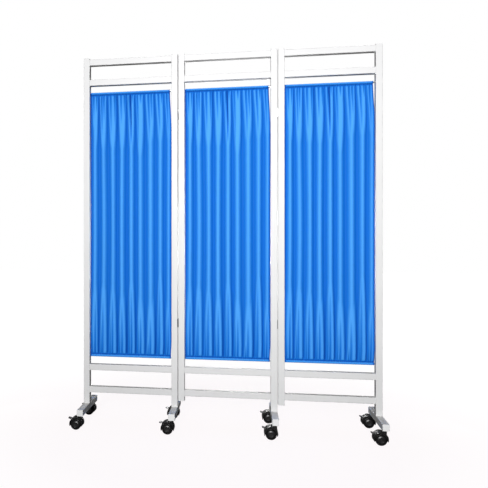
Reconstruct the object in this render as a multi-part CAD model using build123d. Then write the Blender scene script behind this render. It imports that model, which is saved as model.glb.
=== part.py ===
from build123d import *
import math
import os

# Folding screen of three framed panels on braked twin-wheel casters, in millimetres, +Z up.
# X runs along the opened panels and the front faces -Y. The floor is at zero.
# The origin is on the floor, under the middle of the box round the whole screen.

# Overall sizes
overall_height = 1800.0
panel_width = 467.5
cut_overrun = 2.0

# Posts, one square tube each
post_side = 30.0
post_wall = 1.0
post_corner = 2.5
short_post_height = 123.0  # floor to the foot of a post that has no leg under it

# Rails between the posts
rail_height = 30.0
rail_depth = 26.0
rail_wall = 1.0
rail_corner = 2.5
post_rise = 6.0  # how far the posts stand above the top rail
upper_rail_space = 70.0
lower_rail_height = 147.0  # floor to the underside of the lowest rail
lower_rail_space = 80.0

# Moulded caps that plug the ends of the tubes
cap_thickness = 3.0
post_cap_plug_length = 12.0
leg_cap_plug_length = 7.0
cap_plug_wall = 2.0
cap_plug_clearance = 0.1
cap_edge = 0.8

# Legs that lie across the foot of a post
leg_width = 30.0
leg_height = 30.0
leg_length = 276.0
leg_wall = 1.5
leg_corner = 2.5
stem_inset = 20.0  # stem to the end of a leg
nut_across = 17.0
nut_height = 8.0

# Curtain rods, in holes in the posts
rod_radius = 4.0
rod_hole_clearance = 0.25
rod_grip = 4.0  # how far a rod reaches past the inner wall of a post

# Curtains, gathered on two rods
curtain_top_space = 32.0  # from the rail above to the curtain
curtain_foot_space = 36.0  # from the rail below to the curtain
curtain_side_space = 4.0
pocket_clearance = 0.3
pocket_wall = 1.2
pocket_overlap = 0.9
cloth_thickness = 2.4
fold_depth = 7.0

# Where the folds lie across the curtain, as shares of its width, at its top and at its foot
top_fold_shares = [6, 5, 7, 6, 5, 6, 7, 6, 5, 7, 6, 5, 7, 6, 6, 5, 7, 6]
foot_fold_shares = [6, 7, 5, 6, 7, 5, 6, 6, 7, 6, 5, 7, 6, 5, 7, 6, 5, 6]
# Height down the curtain and depth of the folds there, as shares
fold_height_shares = [0.0, 0.05, 0.3, 0.65, 0.95, 1.0]
fold_depth_shares = [0.25, 0.7, 1.0, 0.95, 0.75, 0.25]

# Butt hinges between the posts
hinge_height = 40.0
upper_hinge_height = 1500.0
lower_hinge_height = 500.0
leaf_thickness = 1.5
leaf_space = 0.4
leaf_depth = 22.0
knuckle_radius = 3.5
knuckle_stand = 0.1  # clear space between a knuckle and the face of the posts
knuckle_space = 0.3
hinge_pin_radius = 1.75
hinge_pin_clearance = 0.05
hinge_pin_head = 2.6
hinge_pin_head_height = 1.2

# Caster stems
caster_height = 64.0  # floor to the underside of a leg
thread_radius = 5.0
thread_clearance = 0.05
thread_rise = 2.0
collar_across = 15.0
collar_thickness = 3.0
swivel_space = 0.3
pivot_radius = 4.0
pivot_length = 25.0
pivot_clearance = 0.05
pivot_tip = 1.0

# Caster hood
caster_trail = 20.0
hood_radius = 31.0
hood_wall = 2.5
hood_rise = 3.0  # hood centre above the axle
hood_half_width = 23.0
hood_edge = 1.0
hood_skirt_height = 18.0  # floor to the ends of the hood
web_half_width = 6.0
hub_radius = 12.0
socket_radius = 7.5

# Twin wheels and their axle
wheel_radius = 25.0
wheel_space = 0.5  # between the web and each wheel
wheel_edge = 2.0
wheel_half_track = 22.5  # caster middle to the outer face of a wheel
shoulder_drop = 1.0
groove_drop = 2.4
groove_outer_radius = 20.5
disc_radius = 18.0
disc_edge = 1.0
axle_radius = 3.0
axle_clearance = 0.05
axle_press_clearance = 0.02
axle_half_length = 19.0

# Brake lever, a fork that straddles the web
lever_pivot_rise = 3.4  # pivot above the tread
lever_pivot_angle = 133.0
lever_tilt = 17.0
lever_press = 18.0
lever_length = 21.5
lever_thickness = 3.0
lever_half_width = 11.0
lever_pad_start = 9.0
lever_side_space = 0.4
lever_barrel_radius = 1.9
lever_pin_radius = 1.5
lever_pin_clearance = 0.05
lever_nose_radius = 1.0
lever_tip_corner = 5.0
lever_window_space = 1.2
lever_window_reach = 14.0

# Worked out from the sizes above
seam_space = 2 * leaf_thickness + leaf_space
panel_pitch = panel_width + seam_space
clear_width = panel_width - 2 * post_side
post_top = overall_height - cap_thickness
leg_top = caster_height + leg_height
stem_spacing = leg_length - 2 * stem_inset
wheel_centre = (-caster_trail, wheel_radius)
hood_centre = (-caster_trail, wheel_radius + hood_rise)
socket_top = caster_height - collar_thickness - swivel_space
pivot_reach = wheel_radius + lever_pivot_rise
lever_pivot = (
    wheel_centre[0] + pivot_reach * math.cos(math.radians(lever_pivot_angle)),
    wheel_centre[1] + pivot_reach * math.sin(math.radians(lever_pivot_angle)),
)
lever_tip_x = (
    lever_pivot[0]
    - lever_length * math.cos(math.radians(lever_tilt))
    - lever_thickness / 2 * math.sin(math.radians(lever_tilt))
)
screen_width = 3 * panel_width + 2 * seam_space
lever_overhang = -lever_tip_x - post_side / 2
screen_centre = lever_overhang / 2
panel_centres = [screen_centre + step * panel_pitch for step in (-1, 0, 1)]
post_offset = (panel_width - post_side) / 2
hinge_pin_offset = post_side / 2 + knuckle_stand + knuckle_radius
rail_bottoms = {
    "upper": [
        overall_height - post_rise - rail_height,
        overall_height - post_rise - 2 * rail_height - upper_rail_space,
    ],
    "lower": [
        lower_rail_height + rail_height + lower_rail_space,
        lower_rail_height,
    ],
}
pocket_radius = rod_radius + pocket_clearance + pocket_wall
curtain_top = rail_bottoms["upper"][1] - curtain_top_space
curtain_foot = rail_bottoms["lower"][0] + rail_height + curtain_foot_space
rod_heights = [curtain_top - pocket_radius, curtain_foot + pocket_radius]


def square_tube(width, depth, wall, corner, length):
    """Upright tube with its foot at zero."""
    outline = RectangleRounded(width, depth, corner)
    bore = RectangleRounded(width - 2 * wall, depth - 2 * wall, corner - wall)
    return extrude(outline - bore, length)


def tube_cap(width, depth, wall, corner, plug_length):
    """Cap whose flange is above zero and whose hollow plug hangs below."""
    flange = extrude(RectangleRounded(width, depth, corner), cap_thickness)
    flange = chamfer(flange.faces().sort_by(Axis.Z)[-1].edges(), cap_edge)
    plug_width = width - 2 * wall - 2 * cap_plug_clearance
    plug_depth = depth - 2 * wall - 2 * cap_plug_clearance
    plug = RectangleRounded(plug_width, plug_depth, corner - wall)
    hollow = Rectangle(plug_width - 2 * cap_plug_wall, plug_depth - 2 * cap_plug_wall)
    return flange + extrude(plug - hollow, -plug_length)


def along_y(sketch, start, end):
    """Solid of an XZ outline between two places on Y."""
    return extrude(Plane(origin=(0, end, 0), x_dir=(1, 0, 0), z_dir=(0, -1, 0)) * sketch, end - start)


def disc_along_y(centre, radius, start, end):
    """Round bar between two places on Y; the centre is its X and Z."""
    turned = Rot(90, 0, 0) * Cylinder(radius, end - start)
    return Pos(centre[0], (start + end) / 2, centre[1]) * turned


def post(foot, inner_side):
    """Post of a panel, with rod holes in the wall that faces the curtain."""
    tube = Pos(0, 0, foot) * square_tube(post_side, post_side, post_wall, post_corner, post_top - foot)
    hole_length = post_wall + 2 * cut_overrun
    hole = Rot(0, 90, 0) * Cylinder(rod_radius + rod_hole_clearance, hole_length)
    for height in rod_heights:
        tube -= Pos(inner_side * (post_side - post_wall) / 2, 0, height) * hole
    return tube


def rail():
    """Rail lying along X, with its underside at zero."""
    tube = square_tube(rail_height, rail_depth, rail_wall, rail_corner, clear_width)
    return Pos(-clear_width / 2, 0, rail_height / 2) * (Rot(0, 90, 0) * tube)


def leg():
    """Leg lying along Y under a post, with a welded nut over each stem hole."""
    tube_length = leg_length - 2 * cap_thickness
    tube = square_tube(leg_width, leg_height, leg_wall, leg_corner, tube_length)
    tube = Pos(0, tube_length / 2, leg_height / 2) * (Rot(90, 0, 0) * tube)
    nut = extrude(RegularPolygon(nut_across / 2, 6, major_radius=False), nut_height)
    hole_height = leg_wall + nut_height + 2 * cut_overrun
    hole = extrude(Circle(thread_radius + thread_clearance), hole_height)
    for side in (-1, 1):
        tube += Pos(0, side * stem_spacing / 2, leg_wall) * nut
        tube -= Pos(0, side * stem_spacing / 2, -cut_overrun) * hole
    return Pos(0, 0, caster_height) * tube


def leg_caps():
    """The two end caps of a leg."""
    cap = tube_cap(leg_width, leg_height, leg_wall, leg_corner, leg_cap_plug_length)
    middle = Pos(0, 0, caster_height + leg_height / 2)
    reach = leg_length / 2 - cap_thickness
    front = middle * Pos(0, -reach, 0) * Rot(90, 0, 0) * cap
    rear = middle * Pos(0, reach, 0) * Rot(-90, 0, 0) * cap
    return [front, rear]


def rod():
    """Curtain rod along X."""
    length = clear_width + 2 * (post_wall + rod_grip)
    return Rot(0, 90, 0) * Cylinder(rod_radius, length)


def fold_places(shares, width):
    """Places across the curtain where the cloth crosses its middle plane."""
    places = [-width / 2]
    for share in shares:
        places.append(places[-1] + width * share / sum(shares))
    return places


def fold_line(places, depth, offset, height):
    """Arcs that swing to the front and to the back in turn."""
    line = []
    for number, (start, end) in enumerate(zip(places[:-1], places[1:])):
        swing = offset + depth * (-1) ** number
        line.append(
            ThreePointArc(
                (start, offset, height),
                ((start + end) / 2, swing, height),
                (end, offset, height),
            )
        )
    return line


def curtain():
    """Curtain with its main folds, between two pockets that the rods pass through."""
    width = clear_width - 2 * curtain_side_space
    sheet_top = rod_heights[0] - pocket_radius + pocket_overlap
    sheet_foot = rod_heights[1] + pocket_radius - pocket_overlap
    top_places = fold_places(top_fold_shares, width)
    foot_places = fold_places(foot_fold_shares, width)
    sections = []
    for drop, depth_share in zip(fold_height_shares, fold_depth_shares):
        height = sheet_top + (sheet_foot - sheet_top) * drop
        places = [top + (foot - top) * drop for top, foot in zip(top_places, foot_places)]
        depth = fold_depth * depth_share
        front = fold_line(places, depth, -cloth_thickness / 2, height)
        back = fold_line(places, depth, cloth_thickness / 2, height)
        ends = [Line(front[0] @ 0, back[0] @ 0), Line(front[-1] @ 1, back[-1] @ 1)]
        sections.append(Face(Wire(front + back + ends)))
    sheet = loft(sections, ruled=True)
    pocket = Rot(0, 90, 0) * Cylinder(pocket_radius, width)
    bore = Rot(0, 90, 0) * Cylinder(rod_radius + pocket_clearance, width + 2 * cut_overrun)
    for height in rod_heights:
        sheet += Pos(0, 0, height) * pocket
    for height in rod_heights:
        sheet -= Pos(0, 0, height) * bore
    return sheet


def hinge_leaf(side, knuckles):
    """Leaf on the given side of the seam, with its knuckles round an axis at zero."""
    band = hinge_height / 3
    plate_foot = -hinge_height / 2
    plate_x = side * (leaf_space + leaf_thickness) / 2
    plate = Pos(plate_x, leaf_depth / 2, 0) * Box(leaf_thickness, leaf_depth, hinge_height)
    clear = Cylinder(knuckle_radius + knuckle_space, band + knuckle_space)
    for number in range(3):
        middle = plate_foot + (number + 0.5) * band
        if number in knuckles:
            plate += Pos(0, 0, middle) * Cylinder(knuckle_radius, band - knuckle_space)
        else:
            plate -= Pos(0, 0, middle) * clear
    bore_height = hinge_height + 2 * cut_overrun
    return plate - Cylinder(hinge_pin_radius + hinge_pin_clearance, bore_height)


def hinge_pin():
    """Headed pin round an axis at zero."""
    shank = Cylinder(hinge_pin_radius, hinge_height)
    head_middle = hinge_height / 2 + hinge_pin_head_height / 2
    return shank + Pos(0, 0, head_middle) * Cylinder(hinge_pin_head, hinge_pin_head_height)


def caster_stem():
    """Threaded stem with a hexagon collar and a swivel pivot, about Z."""
    thread_length = leg_wall + nut_height + thread_rise
    pivot_top = caster_height - collar_thickness
    stem = Pos(0, 0, caster_height) * extrude(Circle(thread_radius), thread_length)
    collar = extrude(RegularPolygon(collar_across / 2, 6, major_radius=False), collar_thickness)
    pivot = extrude(Circle(pivot_radius), pivot_length)
    pivot = chamfer(pivot.faces().sort_by(Axis.Z)[0].edges(), pivot_tip)
    return stem + Pos(0, 0, pivot_top) * collar + Pos(0, 0, pivot_top - pivot_length) * pivot


def caster_hood():
    """Hood, web and stem socket in one moulding; the stem's axis is Z."""
    shell = disc_along_y(hood_centre, hood_radius, -hood_half_width, hood_half_width)
    shell = fillet(shell.edges().filter_by(GeomType.CIRCLE), hood_edge)
    socket_height = socket_top - hood_centre[1]
    shell += Pos(0, 0, hood_centre[1] + socket_height / 2) * Cylinder(socket_radius, socket_height)
    inner_radius = hood_radius - hood_wall
    for side in (-1, 1):
        near, far = sorted((side * web_half_width, side * (hood_half_width + cut_overrun)))
        shell -= disc_along_y(hood_centre, inner_radius, near, far)
    skirt_cut = Box(4 * hood_radius, 4 * hood_radius, 2 * hood_radius)
    shell -= Pos(0, 0, hood_skirt_height - hood_radius) * skirt_cut
    shell += disc_along_y(wheel_centre, hub_radius, -web_half_width, web_half_width)
    reach = hood_half_width + cut_overrun
    shell -= disc_along_y(wheel_centre, axle_radius + axle_clearance, -reach, reach)
    shell -= disc_along_y(lever_pivot, lever_pin_radius + lever_pin_clearance, -reach, reach)
    pivot_depth = collar_thickness + pivot_length + swivel_space
    bore = extrude(Circle(pivot_radius + pivot_clearance), caster_height)
    shell -= Pos(0, 0, caster_height - pivot_depth) * bore
    window = lever_window()
    for side in (-1, 1):
        near, far = sorted((side * web_half_width, side * (lever_half_width + lever_side_space)))
        shell -= along_y(window, near, far)
    return shell


def lever_window():
    """Outline in X and Z of the space that the lever's arms swing through."""
    half = lever_thickness / 2 + lever_window_space
    upper = math.radians(180 - lever_tilt)
    lower = math.radians(180 - lever_tilt + lever_press)
    x, z = lever_pivot
    rise = (half * math.sin(upper), -half * math.cos(upper))
    fall = (-half * math.sin(lower), half * math.cos(lower))
    far_upper = (x + lever_window_reach * math.cos(upper), z + lever_window_reach * math.sin(upper))
    far_lower = (x + lever_window_reach * math.cos(lower), z + lever_window_reach * math.sin(lower))
    points = [
        (x + rise[0], z + rise[1]),
        (far_upper[0] + rise[0], far_upper[1] + rise[1]),
        (far_lower[0] + fall[0], far_lower[1] + fall[1]),
        (x + fall[0], z + fall[1]),
    ]
    return make_face(Polyline(points, close=True))


def wheel(side):
    """Wheel on the given side of the web, about the Y axis."""
    inner = web_half_width + wheel_space
    shoulder = wheel_half_track - shoulder_drop
    groove = wheel_half_track - groove_drop
    bore_radius = axle_radius + axle_press_clearance
    bore_end = axle_half_length + wheel_space
    outline = Polyline(
        [
            (bore_radius, inner),
            (wheel_radius, inner),
            (wheel_radius, shoulder),
            (groove_outer_radius, shoulder),
            (groove_outer_radius, groove),
            (disc_radius, groove),
            (disc_radius, wheel_half_track - disc_edge),
            (disc_radius - disc_edge, wheel_half_track),
            (0, wheel_half_track),
            (0, bore_end),
            (bore_radius, bore_end),
        ],
        close=True,
    )
    turned = revolve(make_face(outline), Axis.Y)
    tread = [edge for edge in turned.edges().filter_by(GeomType.CIRCLE) if edge.radius > groove_outer_radius + wheel_edge]
    turned = fillet(tread, wheel_edge)
    if side < 0:
        turned = Rot(0, 0, 180) * turned
    return Pos(wheel_centre[0], 0, wheel_centre[1]) * turned


def caster_wheels():
    """Both wheels and the axle that they are pressed on."""
    axle = disc_along_y(wheel_centre, axle_radius, -axle_half_length, axle_half_length)
    return [wheel(-1), wheel(1), axle]


def brake_lever():
    """Fork with a foot pad, two arms, their noses and the pivot pin between them."""
    pad_length = lever_length - lever_pad_start
    pad_middle = -(lever_length + lever_pad_start) / 2
    pad = Pos(pad_middle, 0, 0) * Box(pad_length, 2 * lever_half_width, lever_thickness)
    tips = pad.edges().filter_by(Axis.Z).sort_by(Axis.X)[:2]
    pad = fillet(tips, lever_tip_corner)
    arm_inner = web_half_width + lever_side_space
    arm_width = lever_half_width - arm_inner
    nose_turn = 360 - lever_tilt
    toward_wheel = lever_pivot_angle + 180 - lever_press
    nose_angle = math.radians(toward_wheel + 2 * lever_press - nose_turn)
    nose_reach = lever_pivot_rise - lever_side_space / 2 - lever_nose_radius
    nose = (nose_reach * math.cos(nose_angle), nose_reach * math.sin(nose_angle))
    for side in (-1, 1):
        near, far = sorted((side * arm_inner, side * lever_half_width))
        middle = side * (arm_inner + arm_width / 2)
        arm_length = lever_pad_start + pad_length / 2
        pad += Pos(-arm_length / 2, middle, 0) * Box(arm_length, arm_width, lever_thickness)
        pad += disc_along_y((0, 0), lever_barrel_radius, near, far)
        pad += disc_along_y(nose, lever_nose_radius, near, far)
    pad += disc_along_y((0, 0), lever_pin_radius, -lever_half_width, lever_half_width)
    return Pos(lever_pivot[0], 0, lever_pivot[1]) * (Rot(0, lever_tilt, 0) * pad)


def save(name, shapes):
    """Write one sub-part, which may be a group of separate solids."""
    solids = [solid for shape in shapes for solid in shape.solids()]
    whole = solids[0] if len(solids) == 1 else Compound(children=solids)
    whole.label = name
    export_step(whole, f"parts/{name}.step")


def build_panel(name, centre, left_foot, right_foot):
    """Frame, rods, curtain and post caps of one panel."""
    place = Pos(centre, 0, 0)
    save(f"{name}_left_post", [place * Pos(-post_offset, 0, 0) * post(left_foot, 1)])
    save(f"{name}_right_post", [place * Pos(post_offset, 0, 0) * post(right_foot, -1)])
    for level, bottoms in rail_bottoms.items():
        save(f"{name}_{level}_rails", [place * Pos(0, 0, bottom) * rail() for bottom in bottoms])
    save(f"{name}_curtain_rods", [place * Pos(0, 0, height) * rod() for height in rod_heights])
    save(f"{name}_curtain", [place * curtain()])
    cap = tube_cap(post_side, post_side, post_wall, post_corner, post_cap_plug_length)
    caps = [place * Pos(side * post_offset, 0, post_top) * cap for side in (-1, 1)]
    if left_foot > leg_top:
        caps.append(place * Pos(-post_offset, 0, left_foot) * Rot(180, 0, 0) * cap)
    save(f"{name}_post_caps", caps)


def build_seam(name, left_name, right_name, seam_x, face):
    """Two hinges of one seam; face is -1 for knuckles in front and 1 for behind."""
    axis = Pos(seam_x, face * hinge_pin_offset, 0)
    turn = Rot(0, 0, 0) if face < 0 else Rot(0, 0, 180)
    heights = (upper_hinge_height, lower_hinge_height)
    sides = {left_name: (-1, (1,)), right_name: (1, (0, 2))}
    for panel_name, (side, knuckles) in sides.items():
        leaf = turn * hinge_leaf(-side * face, knuckles)
        leaves = [axis * Pos(0, 0, height) * leaf for height in heights]
        save(f"{name}_{panel_name}_hinge_leaves", leaves)
    return [axis * Pos(0, 0, height) * hinge_pin() for height in heights]


def build_casters(number, leg_x):
    """The front and rear caster of one leg."""
    for place_name, side in (("front", -1), ("rear", 1)):
        place = Pos(leg_x, side * stem_spacing / 2, 0)
        save(f"leg_{number}_{place_name}_caster_hood", [place * caster_hood()])
        save(f"leg_{number}_{place_name}_caster_wheels", [place * piece for piece in caster_wheels()])
        save(f"leg_{number}_{place_name}_caster_lever", [place * brake_lever()])


os.makedirs("parts", exist_ok=True)

short_foot = short_post_height + cap_thickness
build_panel("left_panel", panel_centres[0], leg_top, leg_top)
build_panel("middle_panel", panel_centres[1], short_foot, leg_top)
build_panel("right_panel", panel_centres[2], short_foot, leg_top)

seams = [centre - panel_pitch / 2 for centre in panel_centres[1:]]
pins = build_seam("left_seam", "left_panel", "middle_panel", seams[0], -1)
pins += build_seam("right_seam", "middle_panel", "right_panel", seams[1], 1)
save("hinge_pins", pins)

leg_places = [panel_centres[0] - post_offset] + [centre + post_offset for centre in panel_centres]
for number, leg_x in enumerate(leg_places, start=1):
    save(f"leg_{number}", [Pos(leg_x, 0, 0) * leg()])
    build_casters(number, leg_x)

owners = {"left_panel": leg_places[:2], "middle_panel": leg_places[2:3], "right_panel": leg_places[3:]}
for name, places in owners.items():
    save(f"{name}_leg_caps", [Pos(x, 0, 0) * cap for x in places for cap in leg_caps()])
    stems = [
        Pos(x, side * stem_spacing / 2, 0) * caster_stem()
        for x in places
        for side in (-1, 1)
    ]
    save(f"{name}_caster_stems", stems)
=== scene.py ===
import bmesh
import bpy
import math
import numpy as np
from mathutils import Matrix, Vector


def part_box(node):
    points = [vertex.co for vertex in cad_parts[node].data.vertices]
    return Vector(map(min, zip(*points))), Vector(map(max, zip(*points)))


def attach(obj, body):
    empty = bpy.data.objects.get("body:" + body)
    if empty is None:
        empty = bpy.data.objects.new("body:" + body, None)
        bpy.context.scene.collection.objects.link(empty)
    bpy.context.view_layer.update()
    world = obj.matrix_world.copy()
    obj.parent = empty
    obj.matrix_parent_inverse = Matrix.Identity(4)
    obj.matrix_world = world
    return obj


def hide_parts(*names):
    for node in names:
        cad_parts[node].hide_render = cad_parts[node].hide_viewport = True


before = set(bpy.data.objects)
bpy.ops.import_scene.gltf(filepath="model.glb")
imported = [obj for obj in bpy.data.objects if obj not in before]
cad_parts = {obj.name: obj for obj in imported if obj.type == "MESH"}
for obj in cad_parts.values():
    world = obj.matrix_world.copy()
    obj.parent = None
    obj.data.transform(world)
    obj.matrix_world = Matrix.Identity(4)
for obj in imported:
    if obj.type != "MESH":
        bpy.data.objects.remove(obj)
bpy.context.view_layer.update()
panels = {"left": "left_panel", "middle": "middle_panel", "right": "right_panel"}
print("frame loaded:", len(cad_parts), "nodes")


def addNode(tree, kind, place=(0, 0), **values):
    node = tree.nodes.new(kind)
    node.location = place
    for name, value in values.items():
        setattr(node, name, value)
    return node


def link(tree, start, end):
    tree.links.new(start, end)


def mathNode(tree, operation, first, second=None, third=None, clamp=False):
    node = addNode(tree, "ShaderNodeMath", operation=operation, use_clamp=clamp)
    for socket, value in zip(node.inputs, (first, second, third)):
        if value is None:
            continue
        if isinstance(value, (int, float)):
            socket.default_value = value
        else:
            link(tree, value, socket)
    return node.outputs[0]


def mixColour(tree, factor, first, second, blend="MIX"):
    node = addNode(tree, "ShaderNodeMix", data_type="RGBA", blend_type=blend)
    for socket, value in ((node.inputs[0], factor), (node.inputs[6], first), (node.inputs[7], second)):
        if isinstance(value, bpy.types.NodeSocket):
            link(tree, value, socket)
        elif isinstance(value, (int, float)):
            socket.default_value = value
        else:
            socket.default_value = (*value[:3], 1)
    return node.outputs[2]


def newGroup(name, inputs, outputs):
    group = bpy.data.node_groups.new(name, "ShaderNodeTree")
    for socketName, kind, value in inputs:
        socket = group.interface.new_socket(socketName, in_out="INPUT", socket_type=kind)
        if value is not None:
            socket.default_value = value
    for socketName, kind in outputs:
        group.interface.new_socket(socketName, in_out="OUTPUT", socket_type=kind)
    return group, addNode(group, "NodeGroupInput", (-900, 0)), addNode(group, "NodeGroupOutput", (900, 0))


def useGroup(tree, group, place=(-400, 0), **values):
    node = addNode(tree, "ShaderNodeGroup", place, node_tree=group)
    for name, value in values.items():
        node.inputs[name].default_value = value
    return node


def meshFrom(bm, name):
    mesh = bpy.data.meshes.new(name)
    bm.to_mesh(mesh)
    bm.free()
    return mesh


def addObject(name, data):
    thing = bpy.data.objects.new(name, data)
    bpy.context.scene.collection.objects.link(thing)
    return thing


def newMaterial(name):
    material = bpy.data.materials.new(name)
    material.use_nodes = True
    tree = material.node_tree
    shader = next(node for node in tree.nodes if node.type == "BSDF_PRINCIPLED")
    return material, tree, shader


def makeGrainGroup():
    # fine relief of a coat or a moulding, with its bump and a slow drift of tone
    group, start, end = newGroup(
        "surfaceGrain",
        [
            ("Grain Size", "NodeSocketFloat", 0.002),
            ("Drift Size", "NodeSocketFloat", 0.12),
            ("Relief", "NodeSocketFloat", 0.1),
            ("Depth", "NodeSocketFloat", 0.0002),
        ],
        [("Grain", "NodeSocketFloat"), ("Drift", "NodeSocketFloat"), ("Normal", "NodeSocketVector")],
    )
    place = addNode(group, "ShaderNodeTexCoord").outputs["Object"]
    grain = addNode(group, "ShaderNodeTexNoise")
    grain.inputs["Detail"].default_value = 3.0
    grain.inputs["Roughness"].default_value = 0.55
    link(group, place, grain.inputs["Vector"])
    link(group, mathNode(group, "DIVIDE", 1.0, start.outputs["Grain Size"]), grain.inputs["Scale"])
    drift = addNode(group, "ShaderNodeTexNoise")
    drift.inputs["Detail"].default_value = 4.0
    link(group, place, drift.inputs["Vector"])
    link(group, mathNode(group, "DIVIDE", 1.0, start.outputs["Drift Size"]), drift.inputs["Scale"])
    bump = addNode(group, "ShaderNodeBump")
    link(group, start.outputs["Relief"], bump.inputs["Strength"])
    link(group, start.outputs["Depth"], bump.inputs["Distance"])
    link(group, grain.outputs["Fac"], bump.inputs["Height"])
    link(group, grain.outputs["Fac"], end.inputs["Grain"])
    link(group, drift.outputs["Fac"], end.inputs["Drift"])
    link(group, bump.outputs["Normal"], end.inputs["Normal"])
    return group


def makeDustGroup():
    # dust and scuffs, thicker towards the floor
    group, start, end = newGroup(
        "floorDust",
        [("Reach", "NodeSocketFloat", 0.3), ("Amount", "NodeSocketFloat", 0.3)],
        [("Dust", "NodeSocketFloat")],
    )
    place = addNode(group, "ShaderNodeTexCoord").outputs["Object"]
    split = addNode(group, "ShaderNodeSeparateXYZ")
    link(group, place, split.inputs[0])
    height = mathNode(group, "DIVIDE", split.outputs["Z"], start.outputs["Reach"])
    low = mathNode(group, "SUBTRACT", 1.0, height, clamp=True)
    specks = addNode(group, "ShaderNodeTexNoise")
    specks.inputs["Scale"].default_value = 60.0
    specks.inputs["Detail"].default_value = 6.0
    link(group, place, specks.inputs["Vector"])
    patches = mathNode(group, "MULTIPLY_ADD", specks.outputs["Fac"], 2.4, -0.8, clamp=True)
    dust = mathNode(group, "MULTIPLY", mathNode(group, "MULTIPLY", low, patches), start.outputs["Amount"])
    link(group, dust, end.inputs["Dust"])
    return group


def makeWeaveGroup():
    # plain weave on the cloth's own flat cut, which the UV map holds in metres
    group, start, end = newGroup(
        "plainWeave",
        [
            ("Thread", "NodeSocketFloat", 0.0004),
            ("Relief", "NodeSocketFloat", 0.3),
            ("Depth", "NodeSocketFloat", 0.0001),
        ],
        [("Weave", "NodeSocketFloat"), ("Slub", "NodeSocketFloat"), ("Normal", "NodeSocketVector")],
    )
    cut = addNode(group, "ShaderNodeUVMap", uv_map="flatCut").outputs[0]
    split = addNode(group, "ShaderNodeSeparateXYZ")
    link(group, cut, split.inputs[0])
    turns = mathNode(group, "DIVIDE", math.pi, start.outputs["Thread"])
    across = mathNode(group, "SINE", mathNode(group, "MULTIPLY", split.outputs["X"], turns))
    along = mathNode(group, "SINE", mathNode(group, "MULTIPLY", split.outputs["Y"], turns))
    weave = mathNode(group, "MULTIPLY_ADD", mathNode(group, "MULTIPLY", across, along), 0.5, 0.5)
    slubs = []  # long thin changes of thickness along either set of threads
    for stretch in ((900.0, 18.0, 1.0), (18.0, 900.0, 1.0)):
        mapping = addNode(group, "ShaderNodeMapping")
        mapping.inputs["Scale"].default_value = stretch
        link(group, cut, mapping.inputs["Vector"])
        noise = addNode(group, "ShaderNodeTexNoise")
        noise.inputs["Scale"].default_value = 1.0
        noise.inputs["Detail"].default_value = 2.0
        link(group, mapping.outputs[0], noise.inputs["Vector"])
        slubs.append(noise.outputs["Fac"])
    slub = mathNode(group, "MULTIPLY", mathNode(group, "ADD", slubs[0], slubs[1]), 0.5)
    height = mathNode(group, "MULTIPLY_ADD", slub, 0.8, weave)
    bump = addNode(group, "ShaderNodeBump")
    link(group, start.outputs["Relief"], bump.inputs["Strength"])
    link(group, start.outputs["Depth"], bump.inputs["Distance"])
    link(group, height, bump.inputs["Height"])
    link(group, weave, end.inputs["Weave"])
    link(group, slub, end.inputs["Slub"])
    link(group, bump.outputs["Normal"], end.inputs["Normal"])
    return group


grainGroup = makeGrainGroup()
dustGroup = makeDustGroup()
weaveGroup = makeWeaveGroup()
print("shared effects made")

toneSpan = (2.4, -0.7)  # slope and start that stretch the slow drift over the whole way from dark to light
dustReach = 0.35  # metres up from the floor
plainSpecular = 0.4
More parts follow.
